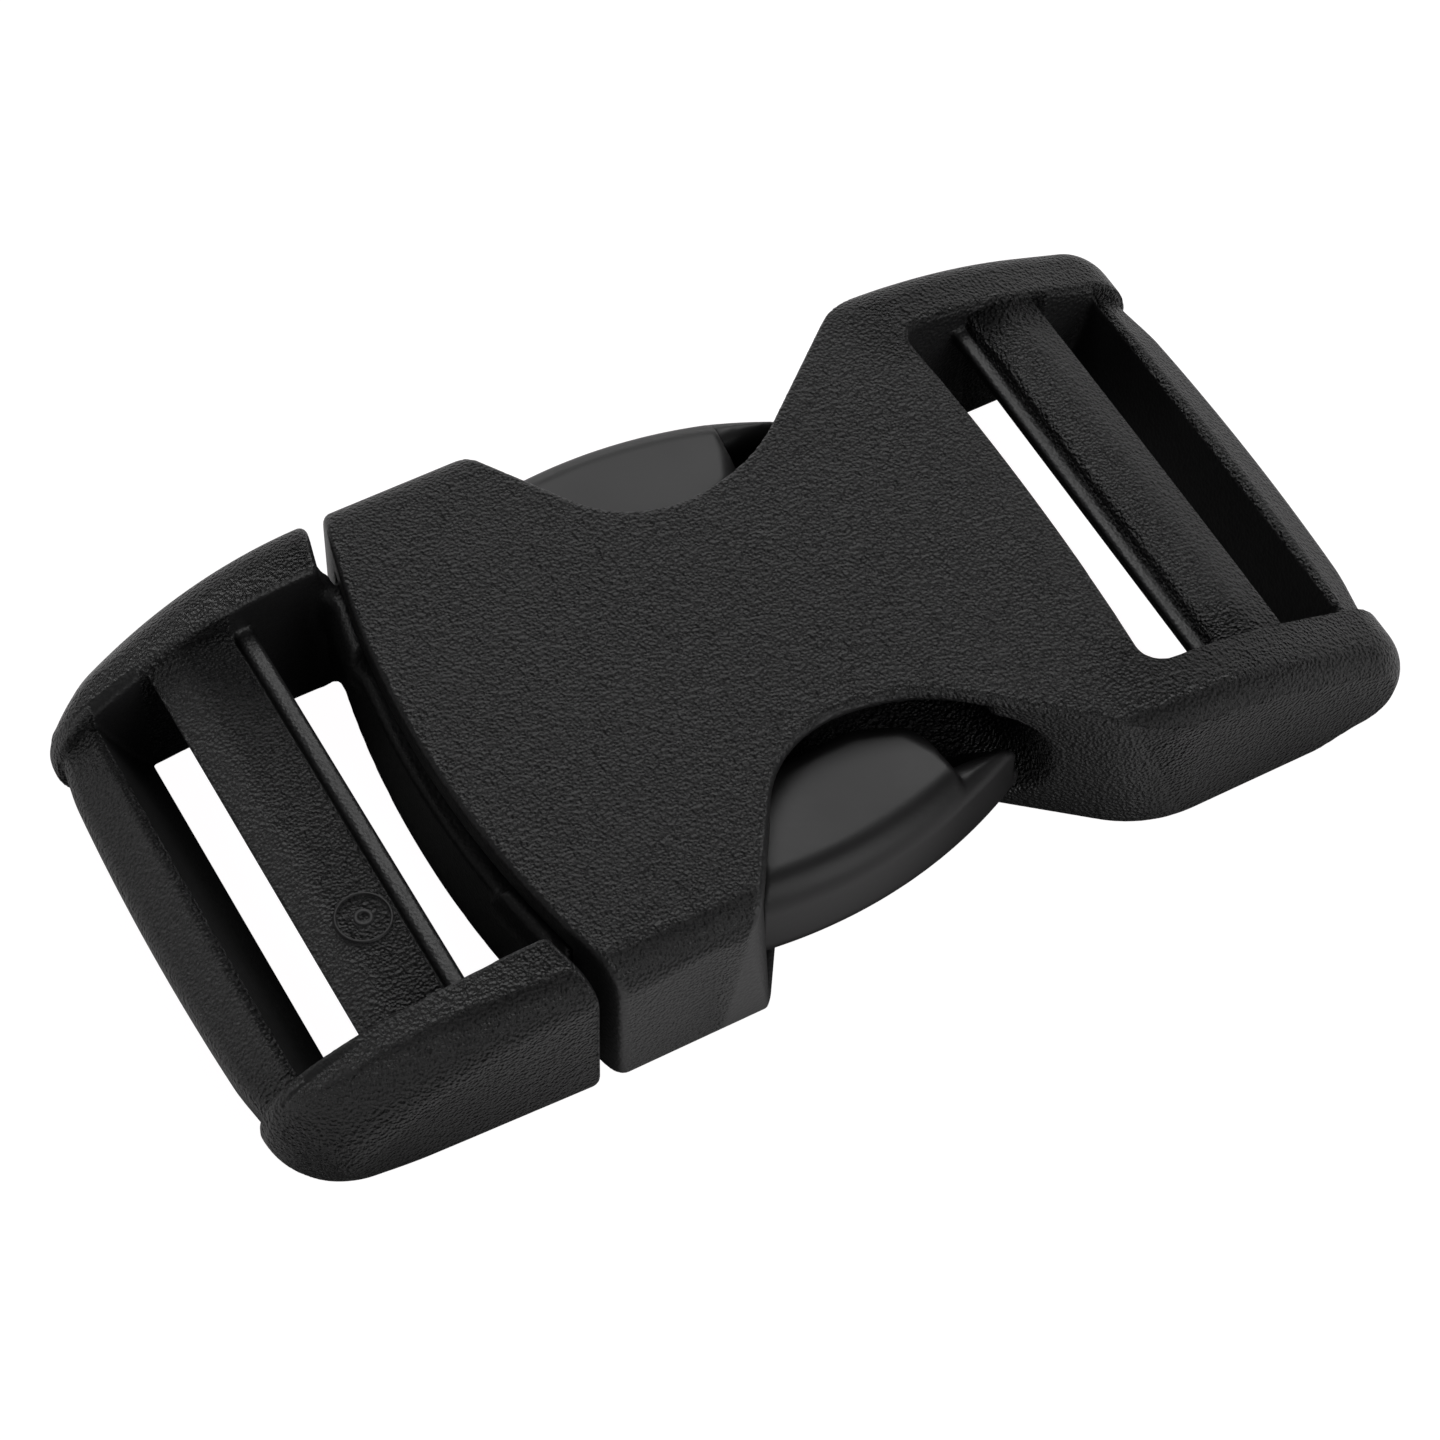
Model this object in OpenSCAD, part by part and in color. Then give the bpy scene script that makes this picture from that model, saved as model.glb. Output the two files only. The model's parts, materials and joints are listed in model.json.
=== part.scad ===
// Dual-adjust side-release buckle, latched, for 25 mm webbing.
// +X points to the socket's end, -X to the latch's end, and +Z is up.
// The underside rests on z = 0, and the buckle is symmetric about y = 0.
// Sizes are in millimetres and angles in degrees.

/* [Overall] */
// Length over the rail tips
overall_l = 67.6; // [66.6:0.2:68.4]
// Width over the rails
overall_w = 34.4; // [34.2:0.2:35.4]
// Height of the socket
overall_h = 10.2; // [10:0.1:11]
// Clear width between the rails, for the webbing
slot_w = 26; // [25.4:0.2:26.4]

/* [Socket housing] */
// Thickness of the upper and lower plates
plate_t = 1.8; // [1.4:0.1:1.9]
// Distance from the middle of the buckle to the mouth
mouth_d = 17.7; // [17.4:0.1:18]
// Radius of the mouth's edge in plan
mouth_r = 59; // [50:1:80]
// Distance from the middle to the edge of the socket's inner slot
body_edge_d = 18.5; // [18.3:0.1:19]
// Distance from the middle to the end of the cavity
cavity_end_d = 12.6; // [12.2:0.1:13.2]
// Half-width of the cavity between the mouth walls
mouth_half_w = 13.4; // [13.2:0.1:13.6]
// Thickness of the two guide ribs beside the tongue
rib_t = 1; // [0.8:0.1:1.4]

/* [Finger scallops] */
// Half-width of the housing at the waist
waist_half_w = 8.05; // [7.6:0.05:8.6]
// Lengthwise place of the waist
waist_x = 2.1; // [1.6:0.1:2.6]
// Scallop radius towards the mouth
scallop_mouth_r = 6.5; // [6:0.1:7]
// Slope of the scallop towards the mouth
scallop_mouth_a = 56; // [54:1:58]
// Scallop radius towards the shoulder
scallop_shoulder_r = 10.5; // [9.5:0.1:11]
// Slope of the scallop towards the shoulder
scallop_shoulder_a = 40; // [38:1:41]

/* [Rails and bars] */
// Distance from the middle to where the rails start to drop
rail_drop_d = 18; // [17.6:0.1:18.4]
// Radius of the drop along the top of a socket rail
rail_drop_r = 30; // [27:0.5:34]
// Radius of the drop along the top of a latch rail
latch_drop_r = 22; // [20:0.5:24]
// Narrowing of each latch rail towards its tip
latch_taper = 0.7; // [0.4:0.1:0.9]
// Radius of the upper outer edge of a rail
rail_top_r = 2.2; // [1.6:0.1:2.8]
// Radius of the lower outer edge of a rail
rail_low_r = 1.3; // [0.9:0.1:1.8]
// Radius of a rail's nose in plan
nose_r = 4; // [3.2:0.1:4.1]
// Height of the strap bars' top face
strap_bar_top = 8.5; // [8.2:0.1:8.8]
// Height of the end bars' top edge
end_bar_top = 5.7; // [5:0.1:6]

/* [Latch] */
// Thickness of a spring arm at its thin end
arm_t = 2; // [1.8:0.1:2.4]
// Half-width of the guide tongue
tongue_half_w = 2.1; // [1.8:0.1:2.2]
// Distance from the middle to the tip of the guide tongue
tongue_tip_d = 11; // [9:0.2:12]
// Clearance above and below everything that slides in the cavity
slide_gap = 0.3; // [0.2:0.05:0.4]
// Radius of a release pad's outer face in plan
pad_r = 27.5; // [26:0.5:29]
// Half-width over the release pads
pad_half_w = 15.6; // [15.2:0.1:15.8]
// Gap between a pad's rear shoulder and the mouth wall that it locks on
lock_gap = 0.2; // [0.15:0.05:0.3]

/* [Hidden] */
$fn = 96;

half_l = overall_l / 2;
half_w = overall_w / 2;
half_slot = slot_w / 2;
cavity_top = overall_h - plate_t;
inner_bottom = plate_t + slide_gap;
inner_top = cavity_top - slide_gap;
// Where the shared rail profile starts, outside the corner fillet of the inner slot
rail_start = body_edge_d + 1.5;
slot_corner_r = 1.4;
// The latch's rails stop this far short of the mouth
rail_gap = 0.95;
// Where the mouth walls end and the pads' rear shoulders bear
lock_x = -6.2;
// The latch's crossbar, measured from the mouth's edge
crossbar_front = 0.4;
crossbar_t = 1.3;
crossbar_low = 0.6;
crossbar_high = 7;
root_x = -14.6;
// Room that the lower plate leaves for the crossbar
mouth_setback = 1.4;
grained = [0.19, 0.19, 0.2];
satin = [0.22, 0.21, 0.22];
big = 200;

function unit(v) = v / norm(v);

// The arc that rounds one corner q = [x, y, radius] between its neighbours p and n
function corner_arc(p, q, n) =
    let (a = unit([p[0] - q[0], p[1] - q[1]]),
         b = unit([n[0] - q[0], n[1] - q[1]]),
         half = acos(a * b) / 2,
         c = [q[0], q[1]] + unit(a + b) * q[2] / sin(half),
         s = [q[0], q[1]] + a * q[2] / tan(half) - c,
         e = [q[0], q[1]] + b * q[2] / tan(half) - c,
         turn = 180 - 2 * half,
         way = cross(s, e) > 0 ? 1 : -1,
         steps = max(3, ceil(turn / 7)))
    [for (k = [0:steps])
        let (t = way * turn * k / steps)
        c + [s[0] * cos(t) - s[1] * sin(t), s[0] * sin(t) + s[1] * cos(t)]];

// The points of a closed outline whose corners are [x, y, radius]
function rounded(corners) =
    [for (i = [0:len(corners) - 1])
        let (q = corners[i],
             p = corners[(i + len(corners) - 1) % len(corners)],
             n = corners[(i + 1) % len(corners)])
        each q[2] > 0 ? corner_arc(p, q, n) : [[q[0], q[1]]]];

// A list of corners on the far side, followed by their mirror images in reverse
function both_sides(corners) =
    concat(corners, [for (i = [len(corners) - 1:-1:0]) [corners[i][0], -corners[i][1], corners[i][2]]]);

scallop_depth = half_w - waist_half_w;
scallop_mouth_x = waist_x - scallop_mouth_r * tan(scallop_mouth_a / 2);
scallop_shoulder_x = waist_x + scallop_shoulder_r * tan(scallop_shoulder_a / 2);

// Plan outline of the socket housing, from beyond the mouth to the start of its rails
housing_outline = rounded(both_sides([
    [body_edge_d, half_slot, slot_corner_r],
    [rail_start, half_slot, 0],
    [rail_start, half_w, 0],
    [scallop_shoulder_x + scallop_depth / tan(scallop_shoulder_a), half_w, 8],
    [scallop_shoulder_x, waist_half_w, scallop_shoulder_r],
    [scallop_mouth_x, waist_half_w, scallop_mouth_r],
    [scallop_mouth_x - scallop_depth / tan(scallop_mouth_a), half_w, 2.2],
    [-mouth_d - 2, half_w, 0]
]));

module block(x0, x1, y0, y1, z0, z1) {
    translate([x0, y0, z0]) cube([x1 - x0, y1 - y0, z1 - z0]);
}

// Everything inside the curved edge of the mouth, moved by shift towards the socket's end
module behind_mouth(shift = 0) {
    translate([mouth_r - mouth_d + shift, 0, -1])
        cylinder(r = mouth_r, h = overall_h + 2, $fn = 360);
}

// The rounded cross-section, extruded along the buckle
module side_rounding() {
    section = rounded([
        [half_w, 0, rail_low_r],
        [half_w, overall_h, rail_top_r],
        [-half_w, overall_h, rail_top_r],
        [-half_w, 0, rail_low_r]
    ]);
    translate([-half_l, 0, 0]) rotate([90, 0, 90])
        linear_extrude(overall_l) polygon(section);
}

module housing() {
    intersection() {
        linear_extrude(overall_h) polygon(housing_outline);
        behind_mouth();
        side_rounding();
    }
}

module socket_upper_plate() {
    color(grained) intersection() {
        housing();
        block(-big, big, -big, big, cavity_top, overall_h);
    }
}

module socket_lower_plate() {
    color(grained) difference() {
        intersection() {
            housing();
            block(-big, big, -big, big, 0, plate_t);
        }
        difference() {
            block(-big, 0, -mouth_half_w, mouth_half_w, -1, plate_t + 1);
            behind_mouth(mouth_setback);
        }
    }
}

module mouth_wall() {
    color(grained) intersection() {
        housing();
        block(-big, lock_x, mouth_half_w, big, plate_t, cavity_top);
    }
}

module socket_end_wall() {
    color(grained) intersection() {
        housing();
        block(cavity_end_d, big, -big, big, plate_t, cavity_top);
    }
}

module guide_rib() {
    color(satin) block(root_x + 2, cavity_end_d, tongue_half_w + 0.4, tongue_half_w + 0.4 + rib_t,
                       plate_t, cavity_top);
}

// A far rail that runs to +X, with a flat top that drops along an arc of radius drop_r to a
// rounded nose, and an outer face that narrows by taper
module rail(start, drop_r, taper = 0) {
    plan = rounded([
        [start, half_slot, 0],
        [half_l, half_slot, 0.6],
        [half_l, half_w - taper, min(nose_r, half_w - taper - half_slot - 0.1) - 0.6],
        [start, half_w, 0]
    ]);
    side = rounded([
        [start, 0, 0],
        [half_l - 1, 0, 1.4],
        [half_l, 3.2, 2],
        [half_l, 5.6, 1.8],
        [half_l - 4, overall_h, 1],
        [start, overall_h, 0]
    ]);
    crown = rounded([
        [0, half_slot - 1, 0],
        [drop_r, half_slot - 1, 0],
        [drop_r, half_w, rail_top_r],
        [0, half_w, 0]
    ]);
    intersection() {
        linear_extrude(overall_h) polygon(plan);
        translate([0, half_w + 1, 0]) rotate([90, 0, 0])
            linear_extrude(overall_w) polygon(side);
        side_rounding();
        union() {
            block(0, rail_drop_d, 0, big, 0, overall_h);
            translate([rail_drop_d, 0, overall_h - drop_r]) rotate([-90, 0, 0])
                rotate_extrude($fn = 180) polygon(crown);
        }
    }
}

// A bar across the far end at +X, with its section given as [x, z, radius] corners
module bar(section) {
    translate([0, half_slot, 0]) rotate([90, 0, 0])
        linear_extrude(slot_w) polygon(rounded(section));
}

// Flat on top from top_d to edge_d, undercut outside, with a low lip towards the body
module strap_bar(lip_d, top_d, edge_d) {
    bar([
        [lip_d, strap_bar_top - 1.5, 0],
        [lip_d + 1.4, strap_bar_top - 3.5, 0.4],
        [edge_d - 0.85, strap_bar_top - 3.5, 0.4],
        [edge_d, strap_bar_top - 0.35, 0],
        [edge_d, strap_bar_top, 0],
        [top_d, strap_bar_top, 0.3],
        [lip_d + 0.8, strap_bar_top - 0.7, 0.4],
        [lip_d, strap_bar_top - 0.8, 0]
    ]);
}

// A wedge with a narrow top edge and an outer face that bows outwards
module end_bar() {
    intersection() {
        bar([
            [27.9, 0, 0],
            [29.3, 2, 0.6],
            [31, end_bar_top, 0],
            [31.5, end_bar_top, 0.4],
            [half_l + 0.1, 4.3, 1],
            [half_l - 0.25, 2, 1.6],
            [half_l - 0.95, 0, 0.8]
        ]);
        translate([half_l - 150, 0, -1]) cylinder(r = 150, h = overall_h, $fn = 1080);
    }
}

// The crossbar's plan: a bowed front that turns into the rails with a fillet at each end
module latch_crossbar() {
    front = -mouth_d - crossbar_front;
    end_x = front + half_slot * half_slot / (2 * mouth_r);
    color(satin) union() {
        difference() {
            intersection() {
                block(end_x - 2, 0, -half_slot, half_slot, crossbar_low, crossbar_high);
                union() {
                    behind_mouth(-crossbar_front);
                    for (side = [-1, 1])
                        scale([1, side, 1]) difference() {
                            block(end_x - 2, end_x + 0.5, half_slot - 2, half_slot,
                                  crossbar_low, crossbar_high);
                            translate([end_x - 2, half_slot - 2, 0])
                                cylinder(r = 2, h = overall_h, $fn = 64);
                        }
                }
            }
            behind_mouth(crossbar_t - crossbar_front);
        }
        intersection() {
            behind_mouth(crossbar_t - crossbar_front);
            block(front, root_x, -half_slot + 0.6, half_slot - 0.6, inner_bottom, crossbar_high);
        }
    }
}

module latch_guide_tongue() {
    tip = rounded(both_sides([
        [root_x, tongue_half_w, 0],
        [tongue_tip_d - 3, tongue_half_w, 2],
        [tongue_tip_d, tongue_half_w - 1, 0.7]
    ]));
    color(satin) translate([0, 0, inner_bottom])
        linear_extrude(inner_top - inner_bottom) polygon(tip);
}

// The latch's far rail, cut back to follow the mouth
module latch_rail() {
    color(grained) intersection() {
        mirror([1, 0, 0]) rail(14, latch_drop_r, latch_taper);
        difference() {
            block(-big, 0, 0, big, 0, overall_h);
            behind_mouth(-rail_gap);
        }
    }
}

// The far spring arm, thick at its root and thinner towards the pad
module spring_arm() {
    plan = rounded([
        [root_x, 8.4, 0],
        [root_x + 3, 9.6, 3],
        [lock_x + lock_gap, 12.4 - arm_t, 0],
        [lock_x + lock_gap, 12.4, 0],
        [root_x + 3, 12.2, 3],
        [root_x, 12.2, 0]
    ]);
    color(satin) translate([0, 0, inner_bottom])
        linear_extrude(inner_top - inner_bottom) polygon(plan);
}

// The far release pad: a thick pad with a bowed outer face, then a lower nose on a low ledge
module release_pad() {
    pad_x = waist_x - 3.9;
    pad_y = pad_half_w - pad_r;
    face = rounded([
        [0, inner_bottom, 0],
        [pad_r, inner_bottom, 1.8],
        [pad_r, inner_top, 1.8],
        [0, inner_top, 0]
    ]);
    thick = rounded([
        [lock_x + lock_gap, 9.8, 0],
        [-3.2, 7.9, 3],
        [3.2, 7.6, 3],
        [6.2, 8.8, 1.5],
        [6.6, 11, 0],
        [6.9, 16, 0],
        [lock_x + lock_gap, 16, 0]
    ]);
    nose = rounded([
        [0, 12, 0],
        [10.3, 11.8, 0.8],
        [11.5, 13, 0.9],
        [11.7, 16, 0],
        [0, 16, 0]
    ]);
    ledge = rounded([
        [0, 8.6, 0],
        [7, 9.2, 3],
        [10.8, 10.4, 1],
        [11.3, 12, 0.8],
        [11.4, 16, 0],
        [0, 16, 0]
    ]);
    color(satin) intersection() {
        translate([pad_x, pad_y, 0]) rotate_extrude($fn = 360) polygon(face);
        union() {
            linear_extrude(overall_h) polygon(thick);
            translate([0, 0, inner_bottom + 0.2])
                linear_extrude(inner_top - inner_bottom - 0.8) polygon(nose);
            translate([0, 0, inner_bottom + 0.2])
                linear_extrude(2) polygon(ledge);
        }
    }
}

module near() {
    mirror([0, 1, 0]) children();
}

module at_latch_end() {
    mirror([1, 0, 0]) children();
}

module socket_near_mouth_wall() { near() mouth_wall(); }
module socket_far_mouth_wall() { mouth_wall(); }
module socket_near_guide_rib() { near() guide_rib(); }
module socket_far_guide_rib() { guide_rib(); }
module socket_near_rail() { color(grained) near() rail(rail_start, rail_drop_r); }
module socket_far_rail() { color(grained) rail(rail_start, rail_drop_r); }
module socket_strap_bar() { color(grained) strap_bar(21.9, 23, 27.1); }
module socket_end_bar() { color(grained) end_bar(); }
module latch_near_rail() { near() latch_rail(); }
module latch_far_rail() { latch_rail(); }
module latch_strap_bar() { color(grained) at_latch_end() strap_bar(21.4, 22.9, 27.7); }
module latch_end_bar() { color(grained) at_latch_end() end_bar(); }
module near_spring_arm() { near() spring_arm(); }
module far_spring_arm() { spring_arm(); }
module near_release_pad() { near() release_pad(); }
module far_release_pad() { release_pad(); }

socket_upper_plate();
socket_lower_plate();
socket_near_mouth_wall();
socket_far_mouth_wall();
socket_end_wall();
socket_near_guide_rib();
socket_far_guide_rib();
socket_near_rail();
socket_far_rail();
socket_strap_bar();
socket_end_bar();
latch_crossbar();
latch_guide_tongue();
latch_near_rail();
latch_far_rail();
latch_strap_bar();
latch_end_bar();
near_spring_arm();
far_spring_arm();
near_release_pad();
far_release_pad();
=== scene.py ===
import json
import math

import bpy
import numpy as np
from mathutils import Matrix, Vector


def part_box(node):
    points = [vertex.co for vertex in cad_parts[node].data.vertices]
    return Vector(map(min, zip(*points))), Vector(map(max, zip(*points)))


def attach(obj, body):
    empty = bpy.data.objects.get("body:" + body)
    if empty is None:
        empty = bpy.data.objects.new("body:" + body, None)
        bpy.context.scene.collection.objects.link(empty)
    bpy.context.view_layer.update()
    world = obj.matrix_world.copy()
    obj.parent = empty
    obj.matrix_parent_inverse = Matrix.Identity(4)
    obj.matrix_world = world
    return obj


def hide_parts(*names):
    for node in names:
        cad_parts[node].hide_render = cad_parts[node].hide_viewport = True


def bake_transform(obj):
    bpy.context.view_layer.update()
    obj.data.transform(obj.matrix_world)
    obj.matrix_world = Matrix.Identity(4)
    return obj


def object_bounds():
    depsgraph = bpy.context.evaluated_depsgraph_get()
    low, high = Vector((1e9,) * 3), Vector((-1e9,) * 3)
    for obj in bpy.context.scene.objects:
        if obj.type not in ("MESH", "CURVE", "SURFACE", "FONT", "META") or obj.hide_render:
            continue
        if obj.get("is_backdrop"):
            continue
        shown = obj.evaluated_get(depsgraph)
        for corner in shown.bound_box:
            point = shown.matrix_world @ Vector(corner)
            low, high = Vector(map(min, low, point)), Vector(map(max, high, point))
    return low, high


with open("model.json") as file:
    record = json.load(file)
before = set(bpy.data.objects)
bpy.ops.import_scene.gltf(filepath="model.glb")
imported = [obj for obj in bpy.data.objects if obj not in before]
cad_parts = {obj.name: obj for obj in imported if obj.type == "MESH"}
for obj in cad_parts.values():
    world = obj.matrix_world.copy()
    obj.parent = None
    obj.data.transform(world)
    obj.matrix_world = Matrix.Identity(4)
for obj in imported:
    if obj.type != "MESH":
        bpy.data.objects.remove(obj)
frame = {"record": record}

cad_lo, cad_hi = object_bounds()
MM = 0.001


def span(node):
    """The lowest and highest corners of a CAD node, in millimetres."""
    lo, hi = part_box(node)
    return np.array(lo) / MM, np.array(hi) / MM


# ---------------------------------------------------------------- sizes, from the frame

HALF_L = cad_hi[0] / MM
HALF_W = cad_hi[1] / MM
TOP = cad_hi[2] / MM
upper_lo, upper_hi = span("socket_upper_plate")
lower_hi = span("socket_lower_plate")[1]
strap_lo, strap_hi = span("socket_strap_bar")
latch_bar_lo, latch_bar_hi = span("latch_strap_bar")
end_hi = span("socket_end_bar")[1]
wall_lo, wall_hi = span("socket_far_mouth_wall")
block_lo = span("socket_end_wall")[0]
rib_lo, rib_hi = span("socket_far_guide_rib")
cross_lo, cross_hi = span("latch_crossbar")
tongue_lo, tongue_hi = span("latch_guide_tongue")
arm_lo, arm_hi = span("far_spring_arm")
pad_lo, pad_hi = span("far_release_pad")

PLATE_LOW = lower_hi[2]          # top of the lower plate
PLATE_HIGH = upper_lo[2]         # underside of the upper plate
MOUTH_X = upper_lo[0]            # the mouth's edge on the centre line
HALF_SLOT = strap_hi[1]          # half the clear width between the rails
LOCK_X = wall_hi[0]              # where the mouth walls end
WALL_Y = wall_lo[1]              # inner face of the mouth walls
CAVITY_X = block_lo[0]           # end of the cavity
MID_Z = (PLATE_LOW + PLATE_HIGH) / 2

# ---------------------------------------------------------------- shape constants, mm

MOUTH_R = 59.0                   # mouth's edge in plan
SCALLOP = dict(waist=8.05, x=2.1, r_mouth=6.5, a_mouth=56, r_shoulder=10.5, a_shoulder=40)
# Where the rails start to drop, the arc they follow, and where it turns into a straight slope
DROP = {"socket": (16.0, 33.0, 12.0), "latch": (17.5, 27.8, 20.0)}
SIDE_R, LOW_R = 2.2, 1.3         # outer upper and lower edges of the rails
FATTER = {"socket": 0.0, "latch": 2.0}    # how much rounder the upper edge is 13 mm further out
BLUNT = {"socket": 1.4, "latch": 0.6}     # how much rounder the lower edge is at the tips
CRISP = 0.35                     # moulded edge radius of the plates
TAPER = 0.7                      # how much the latch's rails narrow towards their tips
CROWN = 0.10                     # how much lower the upper face is at the sides than on the centre line
FLARE = 0.8                      # how far the mouth block's scallop corner spreads at the underside
RIM_THICK, RIM_WIDE = 0.75, 2.2  # the upper plate's edge, thinned from below round the finger scallops
LIP_SETBACK = 1.4                # how far the lower plate stops short of the mouth's edge
MOUTH_GAP = 0.95                 # between the mouth's edge and the ends of the latch's rails
TRIM = 0.3                       # how far the bars' ends stay below the rails' upper faces

# The corners of the areas in which outlines are tabled, and a distance well outside the buckle
PLAN_AREA = (-22, -1), (36, 20)
ARM_AREA = (-20, 0), (16, 20)
FAR_OUT = 30.0


# ---------------------------------------------------------------- signed-distance kit

def rmax(a, b, r):
    """Intersection of two fields, with its convex edge rounded to radius r."""
    return np.minimum(np.maximum(a, b), -r) + np.hypot(np.maximum(a + r, 0), np.maximum(b + r, 0))


def rmin(a, b, r):
    """Union of two fields, with its concave edge filled to radius r."""
    return -rmax(-a, -b, r)


def smooth(t):
    t = np.clip(t, 0, 1)
    return t * t * (3 - 2 * t)


def rounded(corners, step=4.0):
    """Points of a closed outline whose corners are (x, y, radius)."""
    pts = []
    n = len(corners)
    for i, (x, y, r) in enumerate(corners):
        q = np.array([x, y], float)
        if r <= 0:
            pts.append(q)
            continue
        a = np.array(corners[i - 1][:2], float) - q
        b = np.array(corners[(i + 1) % n][:2], float) - q
        a /= np.linalg.norm(a)
        b /= np.linalg.norm(b)
        half = math.acos(np.clip(a @ b, -1, 1)) / 2
        mid = (a + b) / np.linalg.norm(a + b)
        c = q + mid * r / math.sin(half)
        s = q + a * r / math.tan(half) - c
        e = q + b * r / math.tan(half) - c
        turn = math.pi - 2 * half
        way = 1 if s[0] * e[1] - s[1] * e[0] > 0 else -1
        k = max(2, math.ceil(math.degrees(turn) / step))
        for t in np.linspace(0, way * turn, k + 1):
            cos, sin = math.cos(t), math.sin(t)
            pts.append(c + [s[0] * cos - s[1] * sin, s[0] * sin + s[1] * cos])
    return np.array(pts)


class Flat:
    """The signed distance to a closed outline in a plane, tabled finely and read back bilinearly."""

    def __init__(self, corners, lo, hi, h=0.1):
        p = rounded(corners)
        self.lo, self.h = np.array(lo, float), h
        nu, nv = (int(math.ceil((hi[k] - lo[k]) / h)) + 1 for k in (0, 1))
        u = lo[0] + h * np.arange(nu)[:, None]
        v = lo[1] + h * np.arange(nv)[None, :]
        best = np.full((nu, nv), 1e9)
        odd = np.zeros((nu, nv), bool)
        for a, b in zip(p, np.roll(p, -1, axis=0)):
            e = b - a
            if e @ e < 1e-12:
                continue
            t = np.clip(((u - a[0]) * e[0] + (v - a[1]) * e[1]) / (e @ e), 0, 1)
            best = np.minimum(best, (u - a[0] - t * e[0]) ** 2 + (v - a[1] - t * e[1]) ** 2)
            if a[1] != b[1]:
                hit = ((a[1] > v) != (b[1] > v)) & (u < a[0] + (v - a[1]) * e[0] / e[1])
                odd ^= hit
        self.table = np.where(odd, -1, 1) * np.sqrt(best)

    def __call__(self, u, v):
        u, v = np.broadcast_arrays((u - self.lo[0]) / self.h, (v - self.lo[1]) / self.h)
        n = self.table.shape
        u = np.clip(u, 0, n[0] - 1.001)
        v = np.clip(v, 0, n[1] - 1.001)
        i, j = u.astype(int), v.astype(int)
        fu, fv = u - i, v - j
        t = self.table
        return ((1 - fu) * ((1 - fv) * t[i, j] + fv * t[i, j + 1])
                + fu * ((1 - fv) * t[i + 1, j] + fv * t[i + 1, j + 1]))


def box3(x, y, z, lo, hi, r=0.0):
    """The distance to a box with rounded edges."""
    d = [np.abs(c - (a + b) / 2) - (b - a) / 2 + r for c, a, b in zip((x, y, z), lo, hi)]
    out = np.sqrt(sum(np.maximum(k, 0) ** 2 for k in d))
    return out + np.minimum(np.maximum(np.maximum(d[0], d[1]), d[2]), 0) - r


def axis(lo, hi, h):
    return np.linspace(lo, hi, int(round((hi - lo) / h)) + 1)


def net(field, xs, ys, zs):
    """Surface nets: one quad mesh of the field's zero level, with its points moved onto that level."""
    g = field(xs[:, None, None], ys[None, :, None], zs[None, None, :]).astype(np.float64)
    inside = g < 0
    c = np.zeros(tuple(n - 1 for n in g.shape), np.int8)
    for i in (0, 1):
        for j in (0, 1):
            for k in (0, 1):
                c += inside[i:g.shape[0] - 1 + i, j:g.shape[1] - 1 + j, k:g.shape[2] - 1 + k]
    mixed = (c > 0) & (c < 8)
    number = np.full(mixed.shape, -1, np.int64)
    cells = np.argwhere(mixed)
    number[mixed] = np.arange(len(cells))
    co = [xs, ys, zs]
    total = np.zeros((len(cells), 3))
    count = np.zeros(len(cells))
    for ax in range(3):
        others = [a for a in range(3) if a != ax]
        for s in (0, 1):
            for t in (0, 1):
                a = cells.copy()
                a[:, others[0]] += s
                a[:, others[1]] += t
                b = a.copy()
                b[:, ax] += 1
                fa, fb = g[tuple(a.T)], g[tuple(b.T)]
                cut = (fa < 0) != (fb < 0)
                w = np.where(cut, fa / np.where(cut, fa - fb, 1), 0)
                p = np.stack([co[m][a[:, m]] for m in range(3)], 1)
                q = np.stack([co[m][b[:, m]] for m in range(3)], 1)
                total += np.where(cut[:, None], p + (q - p) * w[:, None], 0)
                count += cut
    points = total / count[:, None]
    quads = []
    for ax in range(3):
        o1, o2 = [(1, 2), (2, 0), (0, 1)][ax]
        sl_a = [slice(None)] * 3
        sl_b = [slice(None)] * 3
        sl_a[ax], sl_b[ax] = slice(0, -1), slice(1, None)
        change = inside[tuple(sl_a)] != inside[tuple(sl_b)]
        where = np.argwhere(change)
        where = where[(where[:, o1] > 0) & (where[:, o2] > 0)
                      & (where[:, o1] < g.shape[o1] - 1) & (where[:, o2] < g.shape[o2] - 1)]
        ids = []
        for d1, d2 in ((0, 0), (1, 0), (1, 1), (0, 1)):
            w = where.copy()
            w[:, o1] -= d1
            w[:, o2] -= d2
            ids.append(number[tuple(w.T)])
        q = np.stack(ids, 1)
        flip = ~inside[tuple(where.T)]
        q[flip] = q[flip][:, ::-1]
        quads.append(q)
    quads = np.concatenate(quads)
    h = min(np.diff(a).min() for a in co)
    return settle(field, points, quads, h), quads


def gradient(field, p, e=0.02):
    f = lambda d: field(p[:, 0] + d[0], p[:, 1] + d[1], p[:, 2] + d[2])
    return np.stack([f(d) - f(-d) for d in np.eye(3) * e], 1) / (2 * e)


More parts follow.
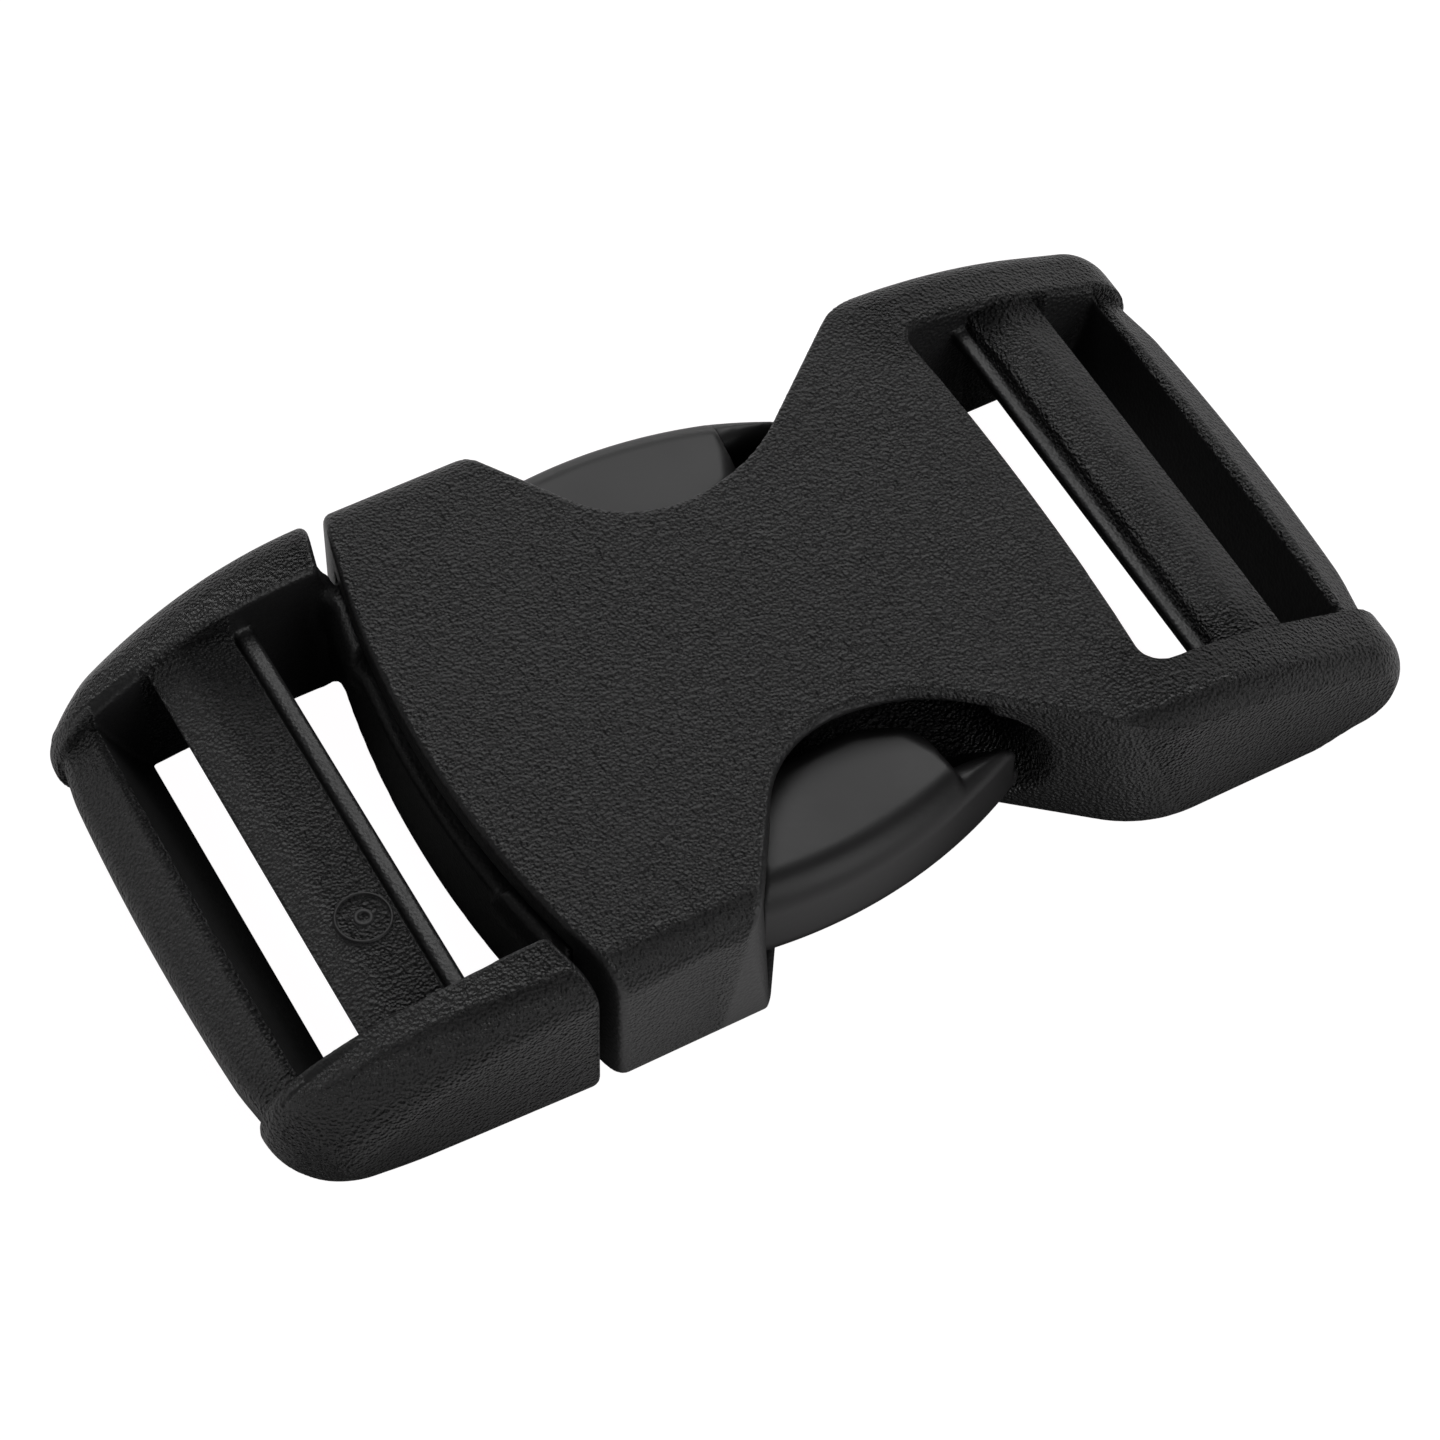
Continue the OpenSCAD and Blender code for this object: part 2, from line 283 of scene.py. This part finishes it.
def settle(field, p, quads, h, rounds=3):
    """Evens the points out along the surface, and moves them onto it."""
    edges = np.concatenate([quads[:, [k, (k + 1) % 4]] for k in range(4)])
    n = len(p)
    degree = np.bincount(edges[:, 0], minlength=n) + np.bincount(edges[:, 1], minlength=n)
    start = p.copy()
    for r in range(rounds):
        g = gradient(field, p)
        size = np.maximum((g * g).sum(1), 0.05)
        step = (field(p[:, 0], p[:, 1], p[:, 2]) / size)[:, None] * g
        p = p - np.clip(step, -0.4 * h, 0.4 * h)
        if r < rounds - 1:
            mean = np.stack([
                np.bincount(edges[:, 0], p[edges[:, 1], m], n)
                + np.bincount(edges[:, 1], p[edges[:, 0], m], n)
                for m in range(3)], 1) / degree[:, None]
            unit = g / np.sqrt(size)[:, None]
            move = (mean - p) * 0.5
            move -= (move * unit).sum(1)[:, None] * unit
            p = p + move
        p = start + np.clip(p - start, -0.8 * h, 0.8 * h)
    return p


def piece(name, field, lo, hi, h, material, skin=None):
    """An object from a field between the corners lo and hi, with grid steps h; skin marks its grain."""
    p, q = net(field, *(axis(a - 2 * s, b + 2 * s, s) for a, b, s in zip(lo, hi, h)))
    me = bpy.data.meshes.new(name)
    me.vertices.add(len(p))
    me.vertices.foreach_set("co", (p * MM).astype(np.float32).ravel())
    me.loops.add(q.size)
    me.loops.foreach_set("vertex_index", q.astype(np.int32).ravel())
    me.polygons.add(len(q))
    me.polygons.foreach_set("loop_start", (4 * np.arange(len(q))).astype(np.int32))
    me.polygons.foreach_set("use_smooth", np.ones(len(q), bool))
    me.update(calc_edges=True)
    me.validate()
    if skin is not None:
        layer = me.attributes.new("skin", "FLOAT", "POINT")
        layer.data.foreach_set("value", skin(p[:, 0], p[:, 1], p[:, 2]))
    me.materials.append(material)
    ob = bpy.data.objects.new(name, me)
    bpy.context.collection.objects.link(ob)
    print(name, len(p), "points")
    return ob


def lathe(name, profile, material, thick=0.15, steps=96):
    """A round plate turned from (radius, height) pairs in millimetres, closed underneath."""
    me = bpy.data.meshes.new(name)
    low = profile[-1][1] - thick
    rings = [(r, h) for r, h in profile if r > 0] + [(profile[-1][0], low)]
    turns = [2 * math.pi * k / steps for k in range(steps)]
    verts = [(r * math.cos(t), r * math.sin(t), h) for r, h in rings for t in turns]
    verts += [(0, 0, profile[0][1]), (0, 0, low)]
    faces = []
    for i in range(len(rings) - 1):
        inner, outer = i * steps, (i + 1) * steps
        faces += [(inner + k, outer + k, outer + (k + 1) % steps, inner + (k + 1) % steps)
                  for k in range(steps)]
    last = (len(rings) - 1) * steps
    faces += [((k + 1) % steps, len(verts) - 2, k) for k in range(steps)]
    faces += [(last + k, len(verts) - 1, last + (k + 1) % steps) for k in range(steps)]
    me.from_pydata([tuple(c * MM for c in v) for v in verts], [], faces)
    me.validate()
    for f in me.polygons:
        f.use_smooth = True
    me.materials.append(material)
    ob = bpy.data.objects.new(name, me)
    bpy.context.collection.objects.link(ob)
    return ob


# ---------------------------------------------------------------- shared shapes

def crown_top(half, x, ay):
    """Height of the upper face: flat over the housing, falling along each rail, and slightly crowned."""
    start, r, straight = DROP[half]
    run = np.maximum(np.abs(x) - start, 0)
    bent = np.minimum(run, straight)
    drop = r - np.sqrt(r ** 2 - bent ** 2) + (run - bent) * bent / math.sqrt(r ** 2 - straight ** 2)
    return TOP - drop - CROWN * (ay / HALF_W) ** 2


outline = {
    "socket": Flat([
        (-40, -20, 0), (-40, HALF_W, 0), (HALF_L, HALF_W, 2.7), (HALF_L, -20, 0)],
        *PLAN_AREA),
    "latch": Flat([
        (-40, -20, 0), (-40, HALF_W, 0), (14, HALF_W, 20), (HALF_L - 0.15, HALF_W - TAPER, 4.0),
        (HALF_L - 0.15, -20, 0)],
        (5, -1), (36, 20))}


def outer_form(half, x, ay, z):
    """The outer form of one half before anything is cut from it, and the height above its upper face."""
    # The end face leans in towards the underside, and slightly towards the top
    lean = 0.06 * np.maximum(4.5 - z, 0) ** 2 + 0.01 * np.maximum(z - 5, 0) ** 2
    out = outline[half](x + lean * smooth((x - 22) / 8), ay)
    up = z - crown_top(half, x, ay)
    # On the sloping rails the distance to the upper face is shorter than the height above it
    up = up / (1 + 0.35 * np.clip((x - DROP[half][0]) / 15, 0, 1))
    side_r = SIDE_R + FATTER[half] * (np.maximum(x - 18, 0) / 13) ** 2 * smooth((ay - 13.2) / 2.5)
    low_r = LOW_R + BLUNT[half] * smooth((x - 26) / 5)
    return np.maximum(rmax(out, up, side_r), rmax(out, -z, low_r)), up


depth = HALF_W - SCALLOP["waist"]
far_depth = FAR_OUT - SCALLOP["waist"]
mouth_foot = SCALLOP["x"] - SCALLOP["r_mouth"] * math.tan(math.radians(SCALLOP["a_mouth"] / 2))
shoulder_foot = SCALLOP["x"] + SCALLOP["r_shoulder"] * math.tan(math.radians(SCALLOP["a_shoulder"] / 2))
mouth_rise = math.tan(math.radians(SCALLOP["a_mouth"]))
shoulder_rise = math.tan(math.radians(SCALLOP["a_shoulder"]))
housing_plan = Flat([
    (-30, -20, 0), (-30, HALF_W, 0), (-14, HALF_W, 30),
    (mouth_foot + 0.25 - depth / mouth_rise, HALF_W - 0.2, 2.2),
    (mouth_foot, SCALLOP["waist"], SCALLOP["r_mouth"]),
    (shoulder_foot, SCALLOP["waist"], SCALLOP["r_shoulder"]),
    (shoulder_foot + depth / shoulder_rise, HALF_W, 8.0),
    (50, HALF_W, 0), (50, -20, 0)],
    *PLAN_AREA)
# The scallop's curve alone, carried on past the housing's sides
scallop_plan = Flat([
    (-40, -20, 0), (-40, FAR_OUT, 0), (mouth_foot - far_depth / mouth_rise, FAR_OUT, 0),
    (mouth_foot, SCALLOP["waist"], SCALLOP["r_mouth"]),
    (shoulder_foot, SCALLOP["waist"], SCALLOP["r_shoulder"]),
    (shoulder_foot + far_depth / shoulder_rise, FAR_OUT, 0), (60, FAR_OUT, 0), (60, -20, 0)],
    *PLAN_AREA)
cavity_plan = Flat([
    (-40, -20, 0), (-40, WALL_Y, 0), (LOCK_X, WALL_Y, 0.3), (LOCK_X, 40, 0),
    (CAVITY_X, 40, 0), (CAVITY_X, -20, 0)],
    *PLAN_AREA)
cavity_profile = Flat([
    (-40, PLATE_LOW, 0), (CAVITY_X, PLATE_LOW, 2.6), (CAVITY_X, PLATE_HIGH, 2.6),
    (-40, PLATE_HIGH, 0)],
    (-22, -2), (36, 13))
slot_plan = Flat([
    (upper_hi[0] - 1.5, -20, 0), (upper_hi[0] - 1.5, HALF_SLOT, 1.4), (60, HALF_SLOT, 0),
    (60, -20, 0)],
    (10, -1), (38, 20))


def strap_section(lip, start, end, edge, groove):
    """A strap bar: a flat top from start to end, and a low lip towards the body with a groove at its foot."""
    top = strap_hi[2]
    low = top - 0.78 - groove
    return Flat([
        (lip, top - 1.5, 0.2), (lip + 1.4, top - 3.5, 0.4), (end - 0.85, top - 3.5, 0.4),
        (end, top - 0.45, 0.05), (end, top, 0.15), (start, top, edge), (start - 0.08, low, 0.05),
        (start - 0.3, low, 0.05), (start - 0.42, top - 0.75, 0.04), (lip, top - 0.75, 0.15)],
        (17, -2), (36, 12), 0.05)


def end_section(foot, inner):
    """An end bar, whose inner face rises from foot to the flat top's edge at inner."""
    top = end_hi[2]
    return Flat([
        (foot, 0, 0.2), (foot + 1.3, 2, 0.5), (inner, top, 0.25), (inner + 0.5, top, 0.4),
        (HALF_L + 0.1, 4.3, 1.0), (HALF_L - 0.25, 2.0, 1.6), (HALF_L - 0.95, 0, 0.8)],
        (22, -2), (38, 12), 0.05)


strap_bar = {"socket": strap_section(strap_lo[0], strap_lo[0] + 1.05, strap_hi[0], 0.35, 0.02),
             "latch": strap_section(-latch_bar_hi[0], 1.4 - latch_bar_hi[0], -latch_bar_lo[0], 0.2, 0.4)}
END_TOP = {"socket": 31.4, "latch": 31.0}     # where the end bars' flat tops start
end_bar = {"socket": end_section(28.8, END_TOP["socket"]), "latch": end_section(27.9, END_TOP["latch"])}


def mouth_circle(x, y, shift=0.0):
    """Distance outside the mouth's edge curve, which is moved towards the latch by shift."""
    return np.hypot(x - (MOUTH_X + MOUTH_R), y) - MOUTH_R - shift


def bars(half, f, x, y, ay, z, up):
    """Adds the strap bar and the bowed end bar, both kept below the rails' upper faces."""
    reach = np.maximum(ay - HALF_SLOT - 1.0, up + TRIM)
    f = rmin(f, rmax(strap_bar[half](x, z), reach, 0.15), 0.1)
    bow = (0.0030 * y * y + 0.3 * smooth((ay - 9) / 4)) * smooth((x - 30.2) / 3.0)
    return rmin(f, rmax(end_bar[half](x + bow, z), reach, 0.15), 0.12)


def rail_slot(x, y, ay, z):
    """The open space between the rails, with its draft and the bowed edge of the housing."""
    return slot_plan(x + 0.003 * np.minimum(ay, 12) ** 2 - 0.3, ay + 0.035 * (TOP - z) - 0.05)


# ---------------------------------------------------------------- the two mouldings

def socket_field(x, y, z):
    ay = np.abs(y)
    body, up = outer_form("socket", x, ay, z)
    plan = housing_plan(x, ay) + 0.3 * smooth((TOP - z) / 2) * smooth((x - 4) / 4)
    corner = smooth((2 - x) / 4) * smooth((x + 10) / 2) * smooth((ay - 9) / 4)
    plan = plan - FLARE * np.clip((TOP - z) / TOP, 0, 1) * corner
    body = np.maximum(body, np.maximum(rmax(plan, up, CRISP), rmax(plan, -z, 1.0)))
    body = rmax(body, mouth_circle(x, y), 0.4)
    low_lip = np.maximum(-mouth_circle(x, y, -LIP_SETBACK), ay - HALF_SLOT + 0.4)
    low_lip = np.maximum(low_lip, z - PLATE_LOW - 0.5)
    body = rmax(body, -low_lip, 0.2)
    cavity = np.maximum(cavity_plan(x, ay), cavity_profile(x, z))
    body = rmax(body, -cavity, 0.3)
    rim_d = scallop_plan(x, ay)
    thinned = np.maximum(-RIM_WIDE - rim_d, z - TOP + RIM_THICK - 0.45 * rim_d)
    thinned = np.maximum(thinned, PLATE_HIGH - 1 - z)
    body = rmax(body, -np.maximum(thinned, np.maximum(ay - 11.5, np.abs(x - 3) - 7)), 0.15)
    ribs = box3(x, ay, z, (rib_lo[0], rib_lo[1], 1.0), (rib_hi[0] + 1, rib_hi[1], TOP - 1), 0.2)
    body = rmin(body, ribs, 0.3)
    body = rmax(body, -rail_slot(x, y, ay, z), 0.3)
    return np.maximum(bars("socket", body, x, y, ay, z, up), -z)


def latch_field(x, y, z):
    X, ay = -x, np.abs(y)
    body, up = outer_form("latch", X, ay, z)
    body = rmax(body, -mouth_circle(x, y, MOUTH_GAP), 0.6)
    inner = HALF_SLOT + 0.05 - 0.035 * (TOP - z) - 0.5 * smooth((X - 21) / 10)
    body = rmax(body, -np.maximum(ay - inner, 10 - X), 0.3)
    body = bars("latch", body, X, y, ay, z, up)
    front = mouth_circle(x, y, 0.4)
    back = -mouth_circle(x, y, -0.9)
    cross = rmax(np.maximum(front, ay - HALF_SLOT - 0.6), back, 0.2)
    cross_z = np.abs(z - (cross_lo[2] + cross_hi[2]) / 2) - (cross_hi[2] - cross_lo[2]) / 2
    cross = rmax(cross, cross_z, 0.35)
    body = rmin(body, cross, 1.5)
    rim = np.maximum(mouth_circle(x, y, 0.45), -mouth_circle(x, y, -0.35))
    rim = np.maximum(rim, ay - HALF_SLOT - 0.6)
    rim = rmax(np.maximum(rim, 8.6 - ay), np.abs(z - 7.0) - 1.0, 0.3)
    body = rmin(body, rim, 1.6)
    # Inside the mouth, the crossbar's ends stop short of the mouth walls
    body = rmax(body, -np.maximum(mouth_circle(x, y, 0.3), WALL_Y - 0.25 - ay), 0.2)
    root = box3(X, ay, z, (-cross_hi[0], -5, tongue_lo[2]),
                (-MOUTH_X - 0.3, HALF_SLOT - 0.6, cross_hi[2]), 0.4)
    body = rmin(body, root, 0.3)
    tip = tongue_hi[0]
    width = tongue_hi[1] - 0.9 * smooth((x - tip + 4) / 4)
    tongue = rmax(rmax(ay - width, np.abs(z - MID_Z) - (tongue_hi[2] - tongue_lo[2]) / 2, 0.4),
                  np.maximum(x - tip, tongue_lo[0] - 1.5 - x), 0.5)
    return np.maximum(rmin(body, tongue, 0.8), -z)


def grain_off(distance, width=0.35):
    """1 well inside a cut's edge, and 0 at the edge and on the cut face."""
    return smooth(-distance / width)


def bar_skin(half, x, ay, lip):
    """1 on the grained parts of the two bars between the rails."""
    bar = (x > lip) & ((x < 28) | (x > END_TOP[half] - 0.1)) & (ay < HALF_SLOT)
    return bar.astype(float)


def socket_skin(x, y, z):
    """How strong the socket's grain is: 0 on cut faces, 0.6 on the housing and the bars, 1 on the rails."""
    ay = np.abs(y)
    scallop = grain_off(scallop_plan(x, ay) + 0.15 * (TOP - z), 0.2)
    keep = np.maximum(scallop, 0.75 * smooth((x - 4) / 6)) * grain_off(mouth_circle(x, y) + 0.1)
    slot_skin = bar_skin("socket", x, ay, strap_lo[0] + 0.8)
    keep = np.where(x > 16, keep * grain_off(-rail_slot(x, y, ay, z) - 0.1) + slot_skin, keep)
    on_rail = smooth((x - 15) / 3) * smooth((ay - 10) / 2)
    return np.clip(keep, 0, 1) * (0.6 + 0.4 * on_rail)


def latch_skin(x, y, z):
    """How strong the latch's grain is: 0 on cut faces, 0.7 on the bars, 1 on the rails."""
    ay = np.abs(y)
    rail = grain_off(HALF_SLOT - ay + 0.15) * grain_off(-mouth_circle(x, y, MOUTH_GAP) + 0.1)
    return np.clip(rail + 0.7 * bar_skin("latch", -x, ay, 1.2 - latch_bar_hi[0]), 0, 1)


arm_plan = Flat([
    (arm_lo[0] - 0.8, 8.2, 0), (arm_lo[0], 8.6, 1), (arm_lo[0] + 3, 9.7, 4), (LOCK_X + 1.5, 10.5, 0),
    (LOCK_X + 1.5, 12.3, 0), (arm_lo[0] + 3, 12.2, 3), (arm_lo[0] - 0.8, 12.2, 0)],
    *ARM_AREA)
pad_plan = Flat([
    (LOCK_X + 0.2, 9.8, 0.8), (-3.2, 7.9, 3), (3.2, 7.6, 3), (6.2, 8.8, 2), (7.2, 11, 0), (9, 18, 0),
    (LOCK_X + 0.2, 18, 0)],
    *ARM_AREA)
nose_plan = Flat([
    (-1, 12.0, 0), (10.1, 11.8, 1.2), (11.4, 13.2, 1.2), (11.5, 18, 0), (-1, 18, 0)],
    *ARM_AREA)
ledge_plan = Flat([
    (-1, 8.6, 0), (7, 9.2, 3), (10.8, 10.4, 1), (11.3, 12, 0.8), (11.4, 18, 0), (-1, 18, 0)],
    *ARM_AREA)
PAD_R = 27.5
pad_centre = (-1.8, pad_hi[1] - PAD_R)


def arm_field(x, y, z, side):
    """A sprung arm with its pad, its nose and the ledge below the nose; side is -1 for the near one."""
    y = y * side
    half = (arm_hi[2] - arm_lo[2]) / 2
    arm = rmax(arm_plan(x, y), np.abs(z - MID_Z) - half, 0.45)
    ring = np.hypot(x - pad_centre[0], y - pad_centre[1]) - PAD_R
    up = z - pad_hi[2]
    nose_up = up + 0.6 + 0.05 * (x - 7)
    under = rmax(ring, pad_lo[2] - z, 1.5)
    thick = np.maximum(rmax(ring, up, 1.8), under)
    thick = np.maximum(thick, rmax(pad_plan(x, y), up, 1.3))
    thick = rmax(thick, x - 6.75 - 0.06 * (y - 13), 0.12)
    crisp = 1.8 - 0.9 * smooth((x - 3) / 4)
    nose = np.maximum(np.maximum(rmax(ring, nose_up, crisp), under), rmax(nose_plan(x, y), nose_up, 1.4))
    ledge = rmax(np.maximum(under, ledge_plan(x, y)), z - 4.2, 0.4)
    return rmin(arm, np.minimum(np.minimum(thick, nose), ledge), 0.5)


# ---------------------------------------------------------------- materials

def tree(name):
    """A new material with a Principled shader as its output: the material, its node tree and the shader."""
    m = bpy.data.materials.new(name)
    m.use_nodes = True
    nt = m.node_tree
    nt.nodes.clear()
    out = nt.nodes.new("ShaderNodeOutputMaterial")
    bsdf = nt.nodes.new("ShaderNodeBsdfPrincipled")
    nt.links.new(bsdf.outputs[0], out.inputs[0])
    return m, nt, bsdf


def ramp(nt, source, lo, hi, to_lo=0.0, to_hi=1.0):
    """Maps a value from lo..hi onto to_lo..to_hi, clamped."""
    node = nt.nodes.new("ShaderNodeMapRange")
    for key, v in (("From Min", lo), ("From Max", hi), ("To Min", to_lo), ("To Max", to_hi)):
        node.inputs[key].default_value = v
    nt.links.new(source, node.inputs["Value"])
    return node.outputs[0]


def math_node(nt, operation, a, b=None):
    """The output of a math node; a and b are numbers or other nodes' outputs."""
    node = nt.nodes.new("ShaderNodeMath")
    node.operation = operation
    for k, v in enumerate((a, b)):
        if isinstance(v, (int, float)):
            node.inputs[k].default_value = v
        elif v is not None:
            nt.links.new(v, node.inputs[k])
    return node.outputs[0]


def plastic(name, colour, rough, cell, depth, specular, skin=False):
    """Black moulded plastic: a pebbled or satin skin in object space, with faint mottling of tone and gloss.

    cell is the pebbles' size in mm. With skin, the "skin" attribute sets how strong the grain is.
    """
    m, nt, bsdf = tree(name)
    add = nt.nodes.new
    link = nt.links.new
    coord = add("ShaderNodeTexCoord").outputs["Object"]

    def noise(scale_mm, detail):
        node = add("ShaderNodeTexNoise")
        node.inputs["Scale"].default_value = 1 / (scale_mm * MM)
        node.inputs["Detail"].default_value = detail
        link(coord, node.inputs["Vector"])
        return node.outputs["Fac"]

    cloud = noise(6.0, 4)
    mixed = add("ShaderNodeVectorMath")
    mixed.operation = "SCALE"
    mixed.inputs[0].default_value = colour
    link(ramp(nt, cloud, 0.3, 0.7, 0.8, 1.25), mixed.inputs["Scale"])
    link(mixed.outputs[0], bsdf.inputs["Base Color"])
    bsdf.inputs["Specular IOR Level"].default_value = specular
    pebbles = add("ShaderNodeTexVoronoi")
    pebbles.feature = "SMOOTH_F1"
    pebbles.inputs["Scale"].default_value = 1 / (cell * MM)
    pebbles.inputs["Smoothness"].default_value = 0.5
    link(coord, pebbles.inputs["Vector"])
    fine = math_node(nt, "MULTIPLY", noise(0.8 * cell, 3), 0.9)
    height = math_node(nt, "ADD", pebbles.outputs["Distance"], fine)
    gloss = ramp(nt, cloud, 0.3, 0.7, rough - 0.03, rough + 0.03)
    bump = add("ShaderNodeBump")
    bump.inputs["Distance"].default_value = depth * MM
    if skin:
        attribute = add("ShaderNodeAttribute")
        attribute.attribute_name = "skin"
        mask = attribute.outputs["Fac"]
        link(ramp(nt, mask, 0, 1, 0.12, 1.0), bump.inputs["Strength"])
        # Cut faces are duller than the housing's skin, and the rails are glossier
        gloss = math_node(nt, "SUBTRACT", gloss, ramp(nt, mask, 0, 0.6, -0.09, 0.0))
        gloss = math_node(nt, "SUBTRACT", gloss, ramp(nt, mask, 0.7, 1.0, 0.0, 0.07))
    else:
        bump.inputs["Strength"].default_value = 0.6
    link(gloss, bsdf.inputs["Roughness"])
    link(height, bump.inputs["Height"])
    link(bump.outputs[0], bsdf.inputs["Normal"])
    return m


grained = plastic("grained_black_plastic", colour=(0.015, 0.015, 0.0155), rough=0.35, cell=0.20,
                  depth=1.0, specular=0.6, skin=True)
satin = plastic("satin_black_plastic", colour=(0.012, 0.0115, 0.012), rough=0.42, cell=0.5,
                depth=0.008, specular=0.42)

# ---------------------------------------------------------------- pieces

# Grid steps along X, Y and Z, in mm
COARSE = 1.0
SOCKET_STEPS = (0.17 * COARSE, 0.36 * COARSE, 0.25 * COARSE)
LATCH_STEPS = (0.18 * COARSE, 0.28 * COARSE, 0.22 * COARSE)
ARM_STEPS = (0.22 * COARSE,) * 3

socket = piece("socket_moulding", socket_field, (MOUTH_X, -HALF_W, 0), (HALF_L, HALF_W, TOP),
               SOCKET_STEPS, grained, socket_skin)
latch = piece("latch_moulding", latch_field, (-HALF_L, -HALF_W, 0), (tongue_hi[0], HALF_W, TOP),
              LATCH_STEPS, grained, latch_skin)
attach(socket, "socket")
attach(latch, "latch")

# The round gate mark: a small pit in a raised ring, a flat, a groove and a low rim
PIT = [(0.0, -0.30), (0.16, -0.30), (0.24, 0.02), (0.50, 0.02)]
FLAT_RING = [(0.62, -0.10), (0.78, -0.02), (1.10, -0.02)]
RIM = [(1.20, -0.16), (1.30, -0.16), (1.40, 0.06), (1.52, 0.04), (1.62, -0.10)]
GATE_X, GATE_Y = -24.5, -6.8
gate = lathe("gate_mark", PIT + FLAT_RING + RIM, satin)
gate.location = Vector((GATE_X, GATE_Y, latch_bar_hi[2])) * MM
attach(gate, "latch")

names = frame["record"]["behaviour"]["bodies"]
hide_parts(*names["socket"])
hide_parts(*names["latch"])

ARM_Y, ARM_ROOM = 12, 5          # the arms' middle in Y, and the room each side of it for the pad
for label, side in (("near", -1), ("far", 1)):
    lo = (arm_lo[0] - 0.8, side * ARM_Y - ARM_ROOM, arm_lo[2])
    hi = (pad_hi[0], side * ARM_Y + ARM_ROOM, arm_hi[2])
    arm = piece(label + "_sprung_arm", lambda x, y, z, s=side: arm_field(x, y, z, s), lo, hi,
                ARM_STEPS, satin)
    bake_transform(arm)
    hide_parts(*names[label + "_arm"])

# ---------------------------------------------------------------- floor, light and camera

FLOOR_GLOW, AMBIENT = 0.50, 0.10     # the floor's painted glow past the buckle's footprint, standing in for bounced light, and what the room sends back to the buckle

bpy.ops.mesh.primitive_plane_add(size=6)
floor = bpy.context.object
floor.name = "floor"
m, nt, bsdf = tree("pale_floor")
bsdf.inputs["Base Color"].default_value = (0.2, 0.2, 0.2, 1)
bsdf.inputs["Roughness"].default_value = 0.9
# Painted shadow and painted glow: under the buckle's footprint the floor sends nothing back, a painted
# shadow, and past the footprint it glows softly, a painted bounce light
spot = nt.nodes.new("ShaderNodeSeparateXYZ")
nt.links.new(nt.nodes.new("ShaderNodeNewGeometry").outputs["Position"], spot.inputs[0])
across = [math_node(nt, "DIVIDE", math_node(nt, "ABSOLUTE", spot.outputs[k]), half * MM)
          for k, half in ((0, HALF_L), (1, HALF_W))]
painted_shadow_glow = ramp(nt, math_node(nt, "MAXIMUM", *across), 0.97, 1.06, 0.0, FLOOR_GLOW)
# Seen directly, it is the white of a studio sweep
seen = nt.nodes.new("ShaderNodeLightPath").outputs["Is Camera Ray"]
nt.links.new(math_node(nt, "MAXIMUM", painted_shadow_glow, seen), bsdf.inputs["Emission Strength"])
bsdf.inputs["Emission Color"].default_value = (1, 0.985, 0.99, 1)
floor.data.materials.append(m)
floor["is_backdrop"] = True

world = bpy.data.worlds.new("studio")
world.use_nodes = True
background = world.node_tree.nodes["Background"]
background.inputs["Color"].default_value = (1, 1, 1, 1)
background.inputs["Strength"].default_value = AMBIENT
bpy.context.scene.world = world


def softbox(name, azimuth, elevation, distance, size, radiance):
    """A rectangular lamp that faces the buckle, at an azimuth and elevation in degrees and a distance in m.

    Azimuth runs clockwise from +Y. The energy follows from the radiance, so that a larger lamp looks
    as bright as a small one.
    """
    a, e = math.radians(azimuth), math.radians(elevation)
    data = bpy.data.lights.new(name, "AREA")
    data.shape = "RECTANGLE"
    data.size, data.size_y = size
    data.energy = radiance * math.pi * size[0] * size[1]
    ob = bpy.data.objects.new(name, data)
    bpy.context.collection.objects.link(ob)
    ob.location = Vector((math.sin(a) * math.cos(e), math.cos(a) * math.cos(e), math.sin(e))) * distance
    ob.rotation_euler = (-ob.location).to_track_quat("-Z", "Y").to_euler()


softbox("back", 29, 54, 0.6, (0.38, 0.30), 3.0)
softbox("front", 160, 30, 0.6, (0.30, 0.55), 1.9)
softbox("rim", 20, 12, 0.8, (0.9, 0.15), 2.6)

# The camera looks along AZIMUTH, clockwise from +Y, and down by ELEVATION
AZIMUTH, ELEVATION, ROLL = math.radians(30.28), math.radians(54.54), math.radians(1.66)
EYE = (-71.41, -122.31, 199.84)  # mm
LENS, SENSOR = 112.5, 36
level = math.cos(ELEVATION)
forward = Vector((math.sin(AZIMUTH) * level, math.cos(AZIMUTH) * level, -math.sin(ELEVATION)))
right = Vector((math.cos(AZIMUTH), -math.sin(AZIMUTH), 0))
up = right.cross(forward)
right, up = (right * math.cos(ROLL) + up * math.sin(ROLL),
             up * math.cos(ROLL) - right * math.sin(ROLL))
cam = bpy.data.cameras.new("camera")
cam.lens, cam.sensor_width = LENS, SENSOR
eye = bpy.data.objects.new("camera", cam)
bpy.context.collection.objects.link(eye)
turn = Matrix((right, up, -forward)).transposed().to_4x4()
eye.matrix_world = Matrix.Translation(Vector(EYE) * MM) @ turn
cam.clip_start, cam.clip_end = 0.01, 10
bpy.context.scene.camera = eye
bpy.context.scene.view_settings.view_transform = "Standard"

lo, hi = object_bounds()
